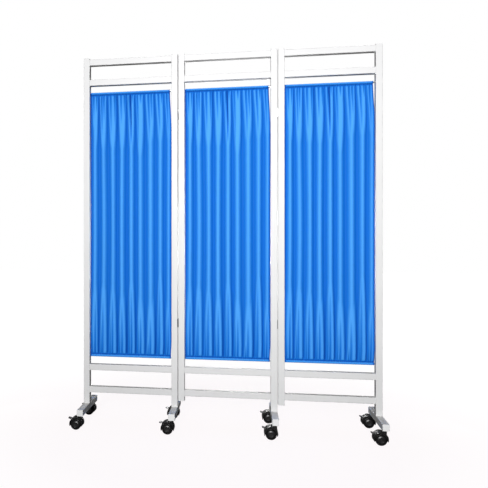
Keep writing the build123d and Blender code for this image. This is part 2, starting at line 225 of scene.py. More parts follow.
# grain: sizes in metres of the fine grain and of the slow drift, strength and depth of the bump
finishes = {
    "powderCoat": {
        "light": (0.80, 0.80, 0.803), "dark": (0.765, 0.765, 0.768), "dust": (0.42, 0.40, 0.37),
        "rough": (0.42, 0.54), "metal": 0.0, "grain": (0.0016, 0.25, 0.18, 0.00012), "dustAmount": 0.12,
    },
    # the same white powder coat, painted brighter on the legs as painted light
    "legCoat": {
        "light": (0.95, 0.945, 0.935), "dark": (0.91, 0.905, 0.895), "dust": (0.50, 0.48, 0.45),
        "rough": (0.50, 0.62), "metal": 0.0, "grain": (0.0016, 0.25, 0.18, 0.00012), "dustAmount": 0.12,
        "specular": 0.18,
    },
    "capPlastic": {
        "light": (0.86, 0.86, 0.86), "dark": (0.80, 0.80, 0.80), "dust": (0.42, 0.40, 0.37),
        "rough": (0.42, 0.55), "metal": 0.0, "grain": (0.0009, 0.05, 0.25, 0.0001), "dustAmount": 0.2,
    },
    # the same white cap plastic, painted brighter at the leg ends as painted light
    "legCapPlastic": {
        "light": (0.97, 0.97, 0.97), "dark": (0.93, 0.93, 0.93), "dust": (0.50, 0.48, 0.45),
        "rough": (0.42, 0.55), "metal": 0.0, "grain": (0.0009, 0.05, 0.25, 0.0001), "dustAmount": 0.1,
    },
    "rodSteel": {
        "light": (0.66, 0.66, 0.67), "dark": (0.50, 0.50, 0.51), "dust": (0.3, 0.29, 0.27),
        "rough": (0.22, 0.38), "metal": 1.0, "grain": (0.0012, 0.06, 0.12, 0.00006), "dustAmount": 0.0,
    },
    "hingeSteel": {
        "light": (0.34, 0.34, 0.35), "dark": (0.20, 0.20, 0.21), "dust": (0.2, 0.19, 0.18),
        "rough": (0.30, 0.50), "metal": 1.0, "grain": (0.0011, 0.03, 0.2, 0.00008), "dustAmount": 0.0,
    },
    "stemZinc": {
        "light": (0.62, 0.62, 0.64), "dark": (0.42, 0.42, 0.43), "dust": (0.25, 0.24, 0.22),
        "rough": (0.25, 0.42), "metal": 1.0, "grain": (0.0014, 0.02, 0.2, 0.00008), "dustAmount": 0.25,
    },
    "hoodPlastic": {
        "light": (0.008, 0.008, 0.0085), "dark": (0.004, 0.004, 0.0045), "dust": (0.12, 0.115, 0.11),
        "rough": (0.36, 0.50), "metal": 0.0, "grain": (0.0007, 0.04, 0.35, 0.0001), "dustAmount": 0.25,
        "specular": 0.3,
    },
    "hubGloss": {
        "light": (0.012, 0.012, 0.013), "dark": (0.006, 0.006, 0.0065), "dust": (0.10, 0.095, 0.09),
        "rough": (0.28, 0.40), "metal": 0.0, "grain": (0.0008, 0.02, 0.2, 0.00006), "dustAmount": 0.1,
        "specular": 0.6,
    },
    "slotShade": {
        "light": (0.03, 0.03, 0.03), "dark": (0.015, 0.015, 0.015), "dust": (0.1, 0.1, 0.1),
        "rough": (0.6, 0.8), "metal": 0.0, "grain": (0.0005, 0.01, 0.3, 0.00005), "dustAmount": 0.0,
    },
    "leverPlastic": {
        "light": (0.10, 0.10, 0.102), "dark": (0.065, 0.065, 0.067), "dust": (0.2, 0.19, 0.18),
        "rough": (0.34, 0.50), "metal": 0.0, "grain": (0.0008, 0.03, 0.4, 0.0001), "dustAmount": 0.35,
    },
}


def useGrain(tree, size, drift, relief, depth):
    return useGroup(tree, grainGroup, **{"Grain Size": size, "Drift Size": drift, "Relief": relief, "Depth": depth})


def hardFinish(name):
    look = finishes[name]
    material, tree, shader = newMaterial(name)
    grain = useGrain(tree, *look["grain"])
    tone = mathNode(tree, "MULTIPLY_ADD", grain.outputs["Drift"], *toneSpan, clamp=True)
    colour = mixColour(tree, tone, look["dark"], look["light"])
    if look["dustAmount"]:
        dust = useGroup(tree, dustGroup, Reach=dustReach, Amount=look["dustAmount"])
        colour = mixColour(tree, dust.outputs["Dust"], colour, look["dust"])
    link(tree, colour, shader.inputs["Base Color"])
    low, high = look["rough"]
    rough = mathNode(tree, "MULTIPLY_ADD", grain.outputs["Grain"], high - low, low)
    link(tree, rough, shader.inputs["Roughness"])
    link(tree, grain.outputs["Normal"], shader.inputs["Normal"])
    shader.inputs["Metallic"].default_value = look["metal"]
    shader.inputs["Specular IOR Level"].default_value = look.get("specular", plainSpecular)
    return material


wheelLook = {
    "light": (0.008, 0.008, 0.0085), "dark": (0.003, 0.003, 0.0034), "dust": (0.15, 0.14, 0.13),
    "toneSpan": (2.0, -0.5), "grain": (0.0009, 0.02, 0.3, 0.0001), "dustReach": 0.12, "dustAmount": 0.4,
    "rings": (6283.0, 0.08, 0.0001),  # turns a radius in metres into rings 1 mm apart, relief and depth
    "rough": (0.5, 0.22, 0.12),  # of the tread, of the side disc, and what the grain adds
    "specular": 0.28,
}


def wheelFinish(name, centre):
    # a glossy side disc with faint turning rings, and a duller tread; centre is the axle in X and Z
    material, tree, shader = newMaterial(name)
    coords = addNode(tree, "ShaderNodeTexCoord")
    facing = addNode(tree, "ShaderNodeSeparateXYZ")
    link(tree, coords.outputs["Normal"], facing.inputs[0])
    side = mathNode(tree, "ABSOLUTE", facing.outputs["Y"])
    disc = mathNode(tree, "GREATER_THAN", side, 0.5)
    split = addNode(tree, "ShaderNodeSeparateXYZ")
    link(tree, coords.outputs["Object"], split.inputs[0])
    x = mathNode(tree, "SUBTRACT", split.outputs["X"], centre[0])
    z = mathNode(tree, "SUBTRACT", split.outputs["Z"], centre[1])
    squares = mathNode(tree, "ADD", mathNode(tree, "MULTIPLY", x, x), mathNode(tree, "MULTIPLY", z, z))
    ringScale, ringRelief, ringDepth = wheelLook["rings"]
    rings = mathNode(tree, "SINE", mathNode(tree, "MULTIPLY", mathNode(tree, "SQRT", squares), ringScale))
    grain = useGrain(tree, *wheelLook["grain"])
    ringBump = addNode(tree, "ShaderNodeBump")
    ringBump.inputs["Strength"].default_value = ringRelief
    ringBump.inputs["Distance"].default_value = ringDepth
    link(tree, mathNode(tree, "MULTIPLY", rings, disc), ringBump.inputs["Height"])
    link(tree, grain.outputs["Normal"], ringBump.inputs["Normal"])
    link(tree, ringBump.outputs["Normal"], shader.inputs["Normal"])
    tone = mathNode(tree, "MULTIPLY_ADD", grain.outputs["Drift"], *wheelLook["toneSpan"], clamp=True)
    colour = mixColour(tree, tone, wheelLook["dark"], wheelLook["light"])
    dust = useGroup(tree, dustGroup, Reach=wheelLook["dustReach"], Amount=wheelLook["dustAmount"])
    mostlyTread = mathNode(tree, "SUBTRACT", 1.2, disc)  # the side disc keeps a fifth of it
    worn = mathNode(tree, "MULTIPLY", dust.outputs["Dust"], mostlyTread)
    colour = mixColour(tree, worn, colour, wheelLook["dust"])
    link(tree, colour, shader.inputs["Base Color"])
    tread, face, grainShare = wheelLook["rough"]
    rough = mathNode(tree, "MULTIPLY_ADD", disc, face - tread, tread)
    rough = mathNode(tree, "MULTIPLY_ADD", grain.outputs["Grain"], grainShare, rough)
    link(tree, rough, shader.inputs["Roughness"])
    shader.inputs["Specular IOR Level"].default_value = wheelLook["specular"]
    return material


clothLook = {
    # colours along the cloth's record of openness: painted shade in slits and valleys, painted highlight on ridges
    "tones": ((0.0, (0.0, 0.068, 0.40)), (0.27, (0.004, 0.176, 0.68)), (1.0, (0.074, 0.388, 1.0))),
    "thread": 0.00042,
    "relief": 0.25,
    "depth": 0.00012,
    "slub": (0.3, 0.85),  # how much the slubs vary the colour, and from which share of it
    "sheen": (0.02, 0.4, (0.55, 0.78, 1.0, 1)),  # weight, roughness and tint
    "rough": (0.62, 0.1),  # and what the weave adds
    "specular": 0.15,
}


def clothFinish(name, paintedShadingName):
    # the named attribute is the mesh's record of how open each spot of that face of the cloth lies, painted as
    # shade in slits and valleys and as highlight on ridges
    material, tree, shader = newMaterial(name)
    weave = useGroup(
        tree, weaveGroup, Thread=clothLook["thread"], Relief=clothLook["relief"], Depth=clothLook["depth"],
    )
    tone = addNode(tree, "ShaderNodeAttribute", attribute_name=paintedShadingName).outputs["Fac"]
    # the ramp turns that record into colour: painted shade dark, painted highlight light
    ramp = addNode(tree, "ShaderNodeValToRGB")
    stops = ramp.color_ramp.elements
    stops.new(clothLook["tones"][1][0])
    for stop, (place, paintedShade) in zip(stops, clothLook["tones"]):
        stop.position, stop.color = place, (*paintedShade, 1)
    link(tree, tone, ramp.inputs[0])
    colour = ramp.outputs[0]
    slub = mathNode(tree, "MULTIPLY_ADD", weave.outputs["Slub"], *clothLook["slub"])
    colour = mixColour(tree, 1.0, colour, slub, "MULTIPLY")
    link(tree, colour, shader.inputs["Base Color"])
    low, added = clothLook["rough"]
    rough = mathNode(tree, "MULTIPLY_ADD", weave.outputs["Weave"], added, low)
    link(tree, rough, shader.inputs["Roughness"])
    link(tree, weave.outputs["Normal"], shader.inputs["Normal"])
    for socket, value in zip(("Sheen Weight", "Sheen Roughness", "Sheen Tint"), clothLook["sheen"]):
        shader.inputs[socket].default_value = value
    shader.inputs["Specular IOR Level"].default_value = clothLook["specular"]
    return material


threadLook = {
    "dark": (0.02, 0.19, 0.72), "light": (0.05, 0.30, 0.85), "grain": (0.0004, 0.01, 0.5, 0.0001),
    "rough": (0.4, 0.2),  # and what the drift adds
}


def threadFinish():
    material, tree, shader = newMaterial("threadPolyester")
    grain = useGrain(tree, *threadLook["grain"])
    colour = mixColour(tree, grain.outputs["Grain"], threadLook["dark"], threadLook["light"])
    link(tree, colour, shader.inputs["Base Color"])
    low, added = threadLook["rough"]
    rough = mathNode(tree, "MULTIPLY_ADD", grain.outputs["Drift"], added, low)
    link(tree, rough, shader.inputs["Roughness"])
    link(tree, grain.outputs["Normal"], shader.inputs["Normal"])
    return material


hard = {name: hardFinish(name) for name in finishes}
clothFront = clothFinish("curtainCloth", "frontTone")
clothBack = clothFinish("curtainClothBack", "backTone")
thread = threadFinish()


def dress(node, material):
    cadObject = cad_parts[node]
    cadObject.data.materials.clear()
    cadObject.data.materials.append(material)


nodeFinishes = (
    ("_post_caps", "capPlastic"),
    ("_leg_caps", "legCapPlastic"),
    *((f"leg_{number}", "legCoat") for number in range(1, 5)),
    ("_caster_stems", "stemZinc"),
    ("_curtain_rods", "rodSteel"),
    ("_hinge_leaves", "hingeSteel"),
    ("hinge_pins", "hingeSteel"),
    ("_hood", "hoodPlastic"),
    ("_lever", "leverPlastic"),
)
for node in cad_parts:
    if node.endswith("_wheels"):
        low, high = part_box(node)
        centre = (low + high) / 2
        dress(node, wheelFinish(node.replace("_", "") + "Plastic", (centre.x, centre.z)))
        continue
    named = [finish for ending, finish in nodeFinishes if node.endswith(ending)]
    dress(node, hard[named[0] if named else "powderCoat"])
print("CAD nodes dressed")


curtain = {
    "columns": 308,
    "fullness": 1.2,  # flat width of the cloth over the width it is gathered to
    "sideReach": 0.0026,  # how much wider than the solid it stands, almost to the posts
    "thickness": 0.0011,
    "plyShare": 0.38,  # one ply, as a share of the thickness where plies lie doubled
    "sideHem": 0.012,  # width to its stitches
    "hemPly": (1.4, 0.8),  # the hem's width over that of its thick part, and that part's share of the thickness
    "middle": 0.0002,  # of the cloth, behind the middle of the rods
    "cornerInset": (0.0075, 0.24),  # how far the top right corner draws in, and down to where
    "footInset": (0.35, 0.10),  # share of that at the foot, and up to where
    "rowStep": (0.0022, 0.0125, 0.16),  # finest rows at the stitched lines, what they grow by and by where
    # main folds: places across the width, blur of their spacing, sway of these places, unevenness of their depth,
    # how flat ridges get where they are gathered, and how far the side edges reach and what folds are left there
    "ridges": (0.055, 0.165, 0.283, 0.393, 0.515, 0.625, 0.741, 0.861, 0.968),
    "ridgeBlur": 6,
    "sway": (0.09, 5, 1.5),  # and how often it changes across and down
    "uneven": (0.12, 1.3),  # and how often it changes down
    "flatRidges": 6.0,
    "sideFlat": (0.03, 0.35),
    # how far the gathers reach from a stitched line and the spread of it, where slits part each ridge
    # and from which share of that reach on, and how deep they are
    "top": {"reach": 0.24, "spread": 0.11, "slits": ((-0.12, 0.2), (0.22, 0.6)), "slitDepth": 1.2},
    "foot": {"reach": 0.30, "spread": 0.12, "slits": ((0.0, 0.16), (-0.24, 0.5)), "slitDepth": 1.15},
    "slitWidth": (0.05, 0.07),  # at its tip, and what it widens by
    "slitSpread": (0.13, 0.32),  # of the slits' places and of where they start
    "slitGrowth": 0.6,  # exponent of how they deepen towards the stitched line
    "longSlit": {"place": 0.508, "reach": 0.25, "depth": 2.2, "width": (0.0045, 0.0065)},  # under the header
    "micro": (54, 0.42, 0.014),  # small puckers along a stitched line: number, depth and reach
    "microUneven": ((1.1, 22), (0.4, 30)),  # of their places and of their depth: how much and how often
    "foldDepth": 0.013,  # more than any row needs
}
pocket = {
    "rodClear": 0.00062,  # middle of the cloth off the rod
    "drop": 0.0062,  # rod middle to the stitched line
    "steps": 15,
    "plyGap": 0.0004,  # each ply off the middle at the stitched line
    "ripple": (0.0011, 0.4),  # height, and the share of it that is lost towards the stitched line
    "rippleSpan": 0.6,  # depth of the folds at the stitched line that counts as full
}
# how the cloth's painted shade and painted highlight are made: what dims its edges and the pockets and darkens its
# valleys as painted shade, and what lights its ridges as painted highlight
clothPaintedShading = {
    "postWall": (0.015, 0.0015, 0.8),  # how far posts stand before the cloth, the gap beside them, and the strength of their painted shade
    "neighbours": 40,  # columns that can hide a spot and so paint shade on it
    "edge": (0.0065, 1.0),  # reach and depth of the painted shade line beside a post
    "seamReach": 0.012,  # from a stitched line's painted shade to the full tone
    "seamLeft": 0.05,  # what is left of the tone at a stitched line, as painted shade in the crease there
    "pocket": (0.95, 0.9),  # painted tone over the rod, and what painted shade takes off it towards the stitched line
    "pocketUnder": (0.5, 1.2),  # painted shade under a rod: what is left of the tone straight under it, and the rise from there to all of it
    "pocketRidge": (0.6, 0.4),  # painted tone of the ripples' valleys, and the painted highlight that their ridges add
    "shift": 0.003,  # the ridges' painted highlight, shifted as if lit from the left
    "narrowRidge": (1.6, 0.6),  # exponent of the ridge's painted highlight in the middle, and what it loses where gathered
    "footDim": 0.08,  # painted shade: what the gathers near the foot lose
    "valley": (0.27, 0.85, 0.08),  # painted shade of the valleys: tone, share that it loses where gathered, and what the deepest spots lose
    "ridge": (0.98, 0.06),  # painted highlight of the ridges: tone, and what it loses where gathered
    "seen": (0.3, 0.6, 0.7),  # painted shade of hidden spots: openness that counts as none, its span, and the tone with none
    "slit": (0.19, 1.6),  # depth of the slits' painted shade, and its exponent
}


def smooth(value):
    value = np.clip(value, 0.0, 1.0)
    return value * value * (3 - 2 * value)


def drift(x, y, seed):
    # smooth random values from -1 to 1
    table = np.random.default_rng(seed).uniform(-1, 1, (64, 64))
    x, y = np.broadcast_arrays(np.asarray(x, float), np.asarray(y, float))
    i, j = np.floor(x).astype(int), np.floor(y).astype(int)
    fx, fy = smooth(x - i), smooth(y - j)
    i, j = i % 63, j % 63
    near = table[i, j] * (1 - fx) + table[i + 1, j] * fx
    far = table[i, j + 1] * (1 - fx) + table[i + 1, j + 1] * fx
    return near * (1 - fy) + far * fy


def pocketPath(rodHeight, radius, upward):
    # Y and Z round a rod from the stitched line at the back to the one in front
    side, drop, gap = (1 if upward else -1), pocket["drop"], pocket["plyGap"]
    opening = math.acos(radius / drop)
    angles = np.linspace(opening, 2 * math.pi - opening, pocket["steps"])
    arc = [(radius * math.sin(a), -radius * math.cos(a)) for a in angles]
    path = [(gap, -drop), ((gap + arc[0][0]) / 2, (-drop + arc[0][1]) / 2), *arc]
    path.append(((arc[-1][0] - gap) / 2, (arc[-1][1] - drop) / 2))
    return [(y, rodHeight + side * z) for y, z in path]


def bodyHeights(low, high):
    # rows close together near both stitched lines
    finest, growth, reach = curtain["rowStep"]
    heights, z = [low], low
    while z < high:
        end = min(z - low, high - z)
        z += finest + growth * float(smooth(end / reach))
        heights.append(z)
    heights = np.array(heights)
    return low + (heights - low) * (high - low) / (heights[-1] - low)


def foldPhase(u):
    # whole numbers at the main folds, halves in the valleys between them
    marks, blur = curtain["ridges"], curtain["ridgeBlur"]
    marks = np.array([2 * marks[0] - marks[1], *marks, 2 * marks[-1] - marks[-2]])
    phase = np.interp(u, marks, np.arange(len(marks)) - 1.0)
    padded = np.pad(phase, blur, mode="reflect", reflect_type="odd")
    return np.convolve(padded, np.ones(2 * blur + 1) / (2 * blur + 1), "valid")


def ridgeSlits(place, fold, share, look, seed):
    # slits that part the ridges near one stitched line; place runs across each fold
    cuts = np.zeros_like(place)
    (tip, widening), (placeSpread, onsetSpread) = curtain["slitWidth"], curtain["slitSpread"]
    for number, (spot, onset) in enumerate(look["slits"]):
        spot = spot + placeSpread * drift(fold, number + 0.5, seed + 1)
        onset = np.maximum(0.0, onset + onsetSpread * drift(fold, number + 0.5, seed + 2))
        opened = np.clip((share - onset) / (1 - onset), 0, 1)
        cut = opened ** curtain["slitGrowth"] * np.exp(-(((place - spot) / (tip + widening * opened)) ** 2))
        cuts = np.maximum(cuts, look["slitDepth"] * cut)
    return cuts


def longSlit(u, down):
    look = curtain["longSlit"]
    tip, widening = look["width"]
    opened = np.clip(1 - down / look["reach"], 0, 1)
    return look["depth"] * np.sqrt(opened) * np.exp(-(((u - look["place"]) / (tip + widening * opened)) ** 2))


def foldShape(u, down, up):
    # how far the cloth stands to the front at a height between the stitched lines, how gathered it is there,
    # and the sharp slits that part its ridges
    (sway, across, along), (uneven, changes) = curtain["sway"], curtain["uneven"]
    phase = foldPhase(u) + sway * drift(u * across, down * along, 3)
    fold = np.round(phase)
    place = phase - fold
    gathered, cuts = np.zeros_like(u), longSlit(u, down)
    for end, distance, seed in (("top", down, 10), ("foot", up, 40)):
        look = curtain[end]
        share = np.clip(1 - distance / (look["reach"] + look["spread"] * drift(phase, 0.5, seed)), 0, 1)
        cuts = np.maximum(cuts, ridgeSlits(place, fold, share, look, seed))
        gathered = np.maximum(gathered, share)
    rise = np.cos(2 * math.pi * place) * (1 + uneven * drift(phase, down * changes, 21))
    rise = 1 - 2 * np.clip((1 - rise) / 2, 0, None) ** (1 + curtain["flatRidges"] * gathered)
    side, flat = curtain["sideFlat"]
    edge = smooth(u / side) * smooth((1 - u) / side)
    number, depth, reach = curtain["micro"]
    (placeShare, placeOften), (depthShare, depthOften) = curtain["microUneven"]
    pucker = np.sin(2 * math.pi * (number * u + placeShare * drift(u * placeOften, 7.5, 31)))
    pucker = pucker * (1 + depthShare * drift(u * depthOften, 2.5, 32))
    free = smooth(min(down, up) / reach)
    rise = free * (rise - cuts) * (flat + (1 - flat) * edge) + (1 - free) * depth * pucker
    return rise, gathered, cuts


def openness(x, forward):
    # share of the space in front that each point of the rows sees past its neighbours and the posts beside it,
    # which sets the cloth's painted shade
    seen = np.ones_like(x)
    wall, gap, strength = clothPaintedShading["postWall"]
    for side in (x[:, :1] - gap, x[:, -1:] + gap):
        seen -= np.arctan((wall - forward) / np.maximum(np.abs(x - side), gap)) / math.pi * strength
    for step in (1, -1):
        steepest = np.zeros_like(x)
        for reach in range(1, clothPaintedShading["neighbours"]):
            near = np.roll(forward, -step * reach, axis=1) - forward
            apart = np.abs(np.roll(x, -step * reach, axis=1) - x)
            valid = np.ones(x.shape[1], bool)
            valid[-reach if step > 0 else 0:(None if step > 0 else reach)] = False
            steepest = np.maximum(steepest, np.where(valid, near / np.maximum(apart, 1e-6), 0))
        seen -= np.arctan(steepest) / math.pi
    return seen


def edgeShade(x):
    # the posts beside the cloth keep light from its side edges
    reach, depth = clothPaintedShading["edge"]
    near = np.minimum(x - x[0], x[-1] - x)
    return 1 - depth * np.exp(-(near / reach) ** 2)


def fitRow(x, fold, length):
    # the depth of the folds that gives the row its cut length
    low, high = 0.0, curtain["foldDepth"]
    for _ in range(24):
        middle = (low + high) / 2
        run = np.hypot(np.diff(x), np.diff(fold * middle)).sum()
        low, high = (middle, high) if run < length else (low, middle)
    return low


def sheetPaintedShading(points, highlightShares, gathers, cuts, paintedShades):
    # how light each spot is painted on both faces of the cloth: painted shade in valleys, slits and hidden spots,
    # painted highlight on ridges
    tones = {}
    valley, valleyLoss, deepest = clothPaintedShading["valley"]
    ridge, ridgeLoss = clothPaintedShading["ridge"]
    closed, span, least = clothPaintedShading["seen"]
    slit, sharpness = clothPaintedShading["slit"]
    for paintedShadingName, sign, shape in (("frontTone", -1, highlightShares), ("backTone", 1, 1 - highlightShares)):
        seen = np.clip((openness(points[..., 0], sign * points[..., 1]) - closed) / span, 0, 1)
        deep = valley * (1 - valleyLoss * gathers) - deepest * np.clip(1 - 2 * shape, 0, 1) * (1 - gathers)
        tone = deep + (ridge - ridgeLoss * gathers - deep) * shape * (least + (1 - least) * seen)
        tones[paintedShadingName] = np.clip(tone - slit * cuts ** sharpness * (sign < 0), 0, 1) * paintedShades
    return tones


def curtainSheet(name, panel):
    nodeLow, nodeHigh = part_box(f"{panel}_curtain")
    rodLow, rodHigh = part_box(f"{panel}_curtain_rods")
    rodRadius = (rodHigh.y - rodLow.y) / 2
    rods = (rodLow.z + rodRadius, rodHigh.z - rodRadius)
    radius, drop = rodRadius + pocket["rodClear"], pocket["drop"]
    width, count = nodeHigh.x - nodeLow.x + 2 * curtain["sideReach"], curtain["columns"]
    u = np.linspace(0, 1, count + 1)
    lowLine, highLine = rods[0] + drop, rods[1] - drop
    body = bodyHeights(lowLine, highLine)
    footPath = pocketPath(rods[0], radius, False)
    topPath = pocketPath(rods[1], radius, True)[::-1]
    cutWidth = width * curtain["fullness"]
    rows, paintedShades, highlightShares, gathers, cuts, plies = [], [], [], [], [], []
    rippleShape = 0.5 + 0.5 * foldShape(u, 0.0, 1.0)[0] / pocket["rippleSpan"]

    def edges(z):
        (inset, reach), (footShare, footReach) = curtain["cornerInset"], curtain["footInset"]
        drawn = inset * (1 - smooth((highLine - z) / reach)) ** 2
        low = inset * footShare * (1 - smooth((z - lowLine) / footReach)) ** 2
        return nodeLow.x - curtain["sideReach"] + (width - drawn - low) * u

    def addRow(*values):
        for record, value in zip((rows, paintedShades, highlightShares, gathers, cuts, plies), values):
            record.append(value)

    def pocketRows(path, rodHeight):
        height, lost = pocket["ripple"]
        (over, seamLoss), (under, turn) = clothPaintedShading["pocket"], clothPaintedShading["pocketUnder"]
        valley, rise = clothPaintedShading["pocketRidge"]
        flat = np.zeros(count + 1)
        for y, z in path:
            out = Vector((y, z - rodHeight))
            share = min(1.0, max(0.0, (out.length - radius) / (drop - radius)))  # from the rod to the stitched line
            out.normalize()
            ripple = rippleShape * height * (1 - lost * share) if share < 0.99 else flat
            row = np.stack([edges(z), y + out.x * ripple, z + out.y * ripple], 1)
            # painted shade on the pocket, darker towards the stitched line and straight under the rod, with painted
            # highlight on the ripples' ridges
            paintedShade = (over - seamLoss * share ** 2) * (under + (1 - under) * float(smooth((out.y + 1.0) / turn)))
            ply = np.full(count + 1, 1.0 if share > 0.5 else curtain["plyShare"])
            addRow(row, paintedShade, valley + rise * rippleShape, flat, flat, ply)

    pocketRows(footPath, rods[0])
    left = clothPaintedShading["seamLeft"]
    ridgeExponent, exponentLoss = clothPaintedShading["narrowRidge"]
    hemStart, hemPly = curtain["hemPly"]
    for z in body:
        down, up = highLine - z, z - lowLine
        fold, gathered, cut = foldShape(u, down, up)
        x = edges(z)
        forward = fold * fitRow(x, fold, cutWidth)
        row = np.stack([x, curtain["middle"] - forward, np.full(count + 1, z)], 1)
        # painted shade at the stitched lines and in the gathers near the foot, painted highlight on the ridges as
        # if lit from the left
        away = float(smooth(min(down, up) / clothPaintedShading["seamReach"]))
        lit = np.clip(0.5 + 0.5 * np.interp(u + clothPaintedShading["shift"], u, fold), 0, 1)
        shape = lit ** (ridgeExponent - exponentLoss * gathered)
        shape = shape * (1 - clothPaintedShading["footDim"] * gathered * (up < down))
        hem = np.minimum(u, 1 - u) * width < curtain["sideHem"] / hemStart
        ply = np.where(hem, hemPly, curtain["plyShare"])
        addRow(row, left + (1 - left) * away, shape, gathered, cut * away, ply)
    pocketRows(topPath, rods[1])

    points = np.array(rows)
    steps = np.linalg.norm(np.diff(points[:, ::8], axis=0), axis=2).mean(1)
    alongCut = np.concatenate([[0], np.cumsum(steps)])
    # painted shade on the side edges beside the posts
    paintedShades = np.array(paintedShades)[:, None] * edgeShade(u * width)
    tones = sheetPaintedShading(points, np.array(highlightShares), np.array(gathers), np.array(cuts), paintedShades)
    sheetMesh = gridMesh(name, points, tones, u * cutWidth, alongCut)
    piece = addObject(name, sheetMesh)
    group = piece.vertex_groups.new(name="plies")
    weights = np.round(np.array(plies).ravel(), 3)
    for share in np.unique(weights):
        group.add([int(i) for i in np.flatnonzero(weights == share)], float(share), "REPLACE")
    sheetMesh.materials.append(clothFront)
    sheetMesh.materials.append(clothBack)
    solid = piece.modifiers.new("plyThickness", "SOLIDIFY")
    solid.thickness = curtain["thickness"]
    solid.offset = 0.0
    solid.vertex_group = "plies"
    solid.material_offset = 1
    solid.material_offset_rim = 0
    lines = (len(footPath), len(footPath) + len(body) - 1)
    return piece, points, lines, (cutWidth, float(alongCut[-1]))


def gridMesh(name, points, tones, across, along):
    # a grid made by bmesh, laid on the rows of points, with its flat cut as its UV map
    rows, columns = points.shape[:2]
    bm = bmesh.new()
    bmesh.ops.create_grid(bm, x_segments=columns - 1, y_segments=rows - 1, size=0.5)
    flat = points.reshape(-1, 3)
    indices = np.empty(len(bm.verts), int)
    for number, vert in enumerate(bm.verts):
        column = round((vert.co.x + 0.5) * (columns - 1))
        row = round((vert.co.y + 0.5) * (rows - 1))
        indices[number] = row * columns + column
        vert.co = flat[indices[number]]
    mesh = meshFrom(bm, name)
    for paintedShadingName, values in tones.items():
        tone = mesh.attributes.new(paintedShadingName, "FLOAT", "POINT")
        tone.data.foreach_set("value", values.ravel()[indices].astype(np.float32))
    corners = np.empty(len(mesh.loops), np.int32)
    mesh.loops.foreach_get("vertex_index", corners)
    place = indices[corners]
    uv = np.stack([across[place % columns], along[place // columns]], 1)
    layer = mesh.uv_layers.new(name="flatCut")
    layer.data.foreach_set("uv", uv.ravel().astype(np.float32))
    mesh.shade_smooth()
    return mesh


stitching = {
    "pitch": 0.0036, "length": 0.0027, "radius": 0.00028, "stand": 0.0001,
    "shape": ((-1, 0.35), (-0.55, 1), (0.55, 1), (1, 0.35)),  # places along a stitch and its radius there
    "lineShift": 0.0004,  # off the seam, towards the body of the curtain
    "cornerRows": 2,  # rows that the side hems' stitches keep from the stitched lines
}


def spread(points, pitch):
    # places at even steps along a line of points, with the way it runs there
    steps = np.linalg.norm(np.diff(points, axis=0), axis=1)
    run = np.concatenate([[0], np.cumsum(steps)])
    places = np.arange(pitch / 2, run[-1], pitch)
    at = np.stack([np.interp(places, run, points[:, axis]) for axis in range(3)], 1)
    ahead = np.stack([np.interp(places + pitch / 4, run, points[:, axis]) for axis in range(3)], 1)
    return at, ahead - at


def stitchRow(curve, points):
    # short stitches, slimmer at their ends
    half = stitching["length"] / 2
    for place, way in zip(*spread(points, stitching["pitch"])):
        length = np.linalg.norm(way)
        if length < 1e-6:
            continue
        way = way / length
        spline = curve.splines.new("POLY")
        spline.points.add(3)
        for point, (reach, width) in zip(spline.points, stitching["shape"]):
            point.co = (*(place + way * reach * half), 1)
            point.radius = width


def curveMesh(name, curve, material):
    # a round bar along each spline, as a mesh
    shape = bpy.data.objects.new(name, curve)
    mesh = bpy.data.meshes.new_from_object(shape)
    bpy.data.objects.remove(shape)
    bpy.data.curves.remove(curve)
    mesh.name = name
    mesh.shade_smooth()
    mesh.materials.clear()
    mesh.materials.append(material)
    return addObject(name, mesh)


def curtainStitches(name, points, lines):
    # both stitched lines, front and back, and the two side hems
    curve = bpy.data.curves.new(name, "CURVE")
    curve.dimensions = "3D"
    curve.bevel_depth = stitching["radius"]
    curve.bevel_resolution = 0
    curve.use_fill_caps = True
    stand = curtain["thickness"] * 0.4 + stitching["stand"]  # just off the faces of the hems
    for row, way in zip(lines, (1, -1)):
        for sign in (-1, 1):
            stitchRow(curve, points[row] + np.array([0, sign * stand, way * stitching["lineShift"]]))
    width = points[lines[0], -1, 0] - points[lines[0], 0, 0]
    column = round(curtain["sideHem"] / width * curtain["columns"])
    inner = slice(lines[0] + stitching["cornerRows"], lines[1] - stitching["cornerRows"] + 1)
    for side in (column, -column - 1):
        for sign in (-1, 1):
            stitchRow(curve, points[inner, side] + np.array([0, sign * stand, 0]))
    return curveMesh(name, curve, thread)


for side, panel in panels.items():
    piece, points, lines, flat = curtainSheet(f"{side}Curtain", panel)
    stitches = curtainStitches(f"{side}CurtainStitches", points, lines)
    for part in (piece, stitches):
        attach(part, panel)
    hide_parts(f"{panel}_curtain")
print("curtains gathered on their rods, flat", [round(value, 3) for value in flat], "rows", len(points))

# dished covers on the outer faces of the caster wheels
hubCover = {
    "profile": (  # half of it, from the middle of the back to that of the front: radius and height in millimetres
        (0.0, -0.3), (17.5, -0.3), (17.4, 0.3), (16.9, 0.6), (12.4, 2.35), (11.6, 2.5), (10.8, 2.3), (9.8, 1.0),
        (4.6, 0.5), (4.2, 0.9), (3.6, 1.1), (1.8, 1.0), (0.0, 0.8),
    ),
    "segments": 48,
    "boss": 0.0095,  # radius within which the cover is dull
    "sharp": 32,  # degrees
}


